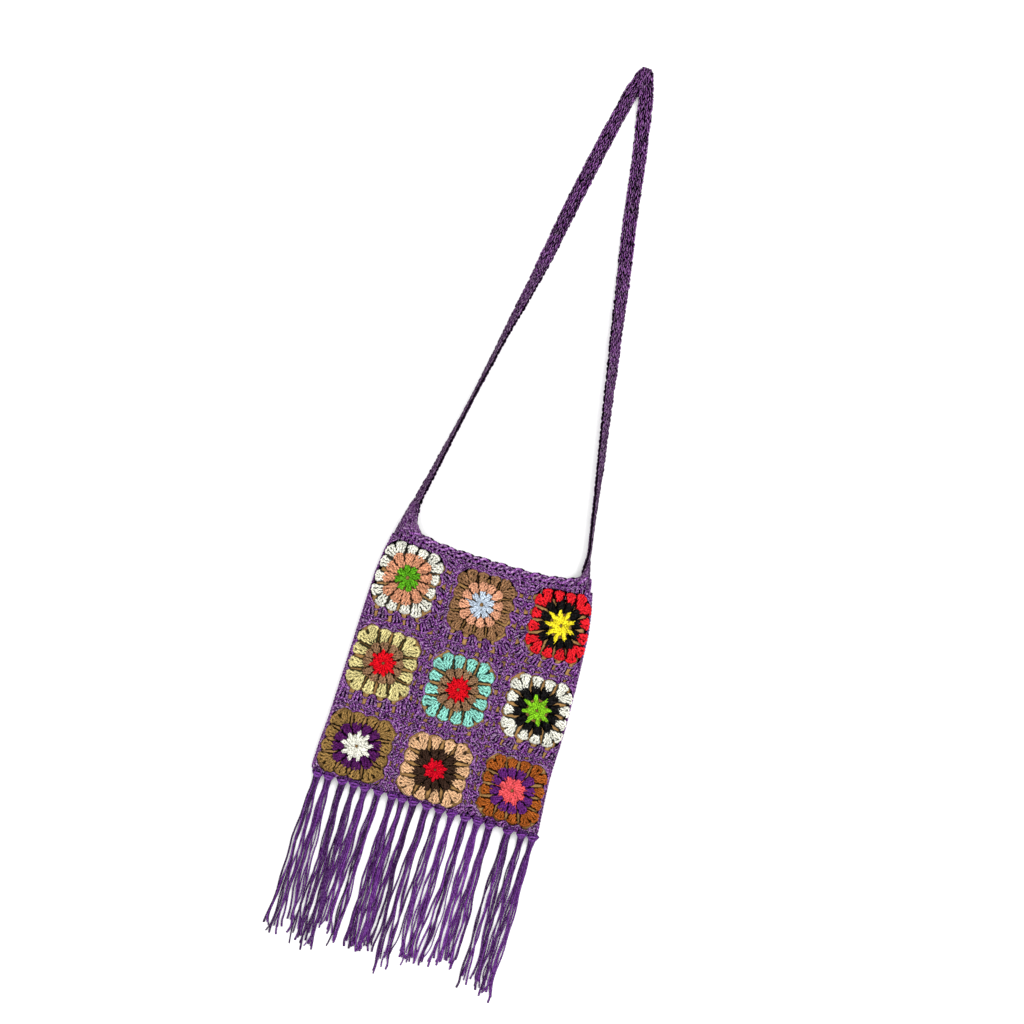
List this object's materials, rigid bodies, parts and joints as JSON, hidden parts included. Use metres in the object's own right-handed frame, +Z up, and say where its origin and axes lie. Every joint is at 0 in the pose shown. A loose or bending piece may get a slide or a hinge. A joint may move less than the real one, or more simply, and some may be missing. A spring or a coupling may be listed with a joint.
{
  "type": "crochet tote bag",
  "caption": "Flat crochet tote bag of granny squares on a purple ground, with a lining, a long shoulder strap folded over at its top and a fringe along the bottom.",
  "frame": {"origin": "on the back's underside, under the centre of the middle square", "axes": "+X the bag's right, +Y from the fringe towards the strap, +Z up off the surface it lies on"},
  "size_m": [0.262, 1.0305, 0.0178],
  "materials": {
    "ground_yarn": "matt worsted acrylic yarn, crocheted",
    "strap_yarn": "matt yarn in dense crochet",
    "fringe_yarn": "matt twisted yarn strands, frayed at the ends",
    "grass_green_yarn": "matt worsted acrylic yarn, crocheted",
    "salmon_yarn": "matt worsted acrylic yarn, crocheted",
    "ivory_yarn": "matt worsted acrylic yarn, crocheted",
    "pale_blue_yarn": "matt worsted acrylic yarn, crocheted",
    "peach_yarn": "matt worsted acrylic yarn, crocheted",
    "tan_brown_yarn": "matt worsted acrylic yarn, crocheted",
    "yellow_yarn": "matt worsted acrylic yarn, crocheted",
    "black_yarn": "matt worsted acrylic yarn, crocheted",
    "scarlet_yarn": "matt worsted acrylic yarn, crocheted",
    "red_yarn": "matt worsted acrylic yarn, crocheted",
    "taupe_yarn": "matt worsted acrylic yarn, crocheted",
    "straw_yarn": "matt worsted acrylic yarn, crocheted",
    "aqua_yarn": "matt worsted acrylic yarn, crocheted",
    "lime_yarn": "matt worsted acrylic yarn, crocheted",
    "aubergine_yarn": "matt worsted acrylic yarn, crocheted",
    "olive_tan_yarn": "matt worsted acrylic yarn, crocheted",
    "crimson_yarn": "matt worsted acrylic yarn, crocheted",
    "dark_brown_yarn": "matt worsted acrylic yarn, crocheted",
    "light_peach_yarn": "matt worsted acrylic yarn, crocheted",
    "coral_yarn": "matt worsted acrylic yarn, crocheted",
    "plum_yarn": "matt worsted acrylic yarn, crocheted",
    "rust_yarn": "matt worsted acrylic yarn, crocheted",
    "lining_cloth": "plain woven cotton, matt"
  },
  "bodies": {
    "root": {"front_net": "ground_yarn", "back_panel": "ground_yarn", "seam_edging": "ground_yarn", "mouth_edging": "ground_yarn", "lining": "lining_cloth", "shoulder_strap": "strap_yarn", "square_11_centre": "grass_green_yarn", "square_11_inner_round": "salmon_yarn", "square_11_outer_round": "ivory_yarn", "square_12_centre": "pale_blue_yarn", "square_12_inner_round": "peach_yarn", "square_12_outer_round": "tan_brown_yarn", "square_13_centre": "yellow_yarn", "square_13_inner_round": "black_yarn", "square_13_outer_round": "scarlet_yarn", "square_21_centre": "red_yarn", "square_21_inner_round": "taupe_yarn", "square_21_outer_round": "straw_yarn", "square_22_centre": "red_yarn", "square_22_inner_round": "taupe_yarn", "square_22_outer_round": "aqua_yarn", "square_23_centre": "lime_yarn", "square_23_inner_round": "black_yarn", "square_23_outer_round": "ivory_yarn", "square_31_centre": "ivory_yarn", "square_31_inner_round": "aubergine_yarn", "square_31_outer_round": "olive_tan_yarn", "square_32_centre": "crimson_yarn", "square_32_inner_round": "dark_brown_yarn", "square_32_outer_round": "light_peach_yarn", "square_33_centre": "coral_yarn", "square_33_inner_round": "plum_yarn", "square_33_outer_round": "rust_yarn", "tassel_01": "fringe_yarn", "tassel_02": "fringe_yarn", "tassel_03": "fringe_yarn", "tassel_04": "fringe_yarn", "tassel_05": "fringe_yarn", "tassel_06": "fringe_yarn", "tassel_07": "fringe_yarn", "tassel_08": "fringe_yarn", "tassel_09": "fringe_yarn", "tassel_10": "fringe_yarn", "tassel_11": "fringe_yarn", "tassel_12": "fringe_yarn", "tassel_13": "fringe_yarn", "tassel_14": "fringe_yarn", "tassel_15": "fringe_yarn", "tassel_16": "fringe_yarn", "tassel_17": "fringe_yarn", "tassel_18": "fringe_yarn"}
  },
  "joints": []
}
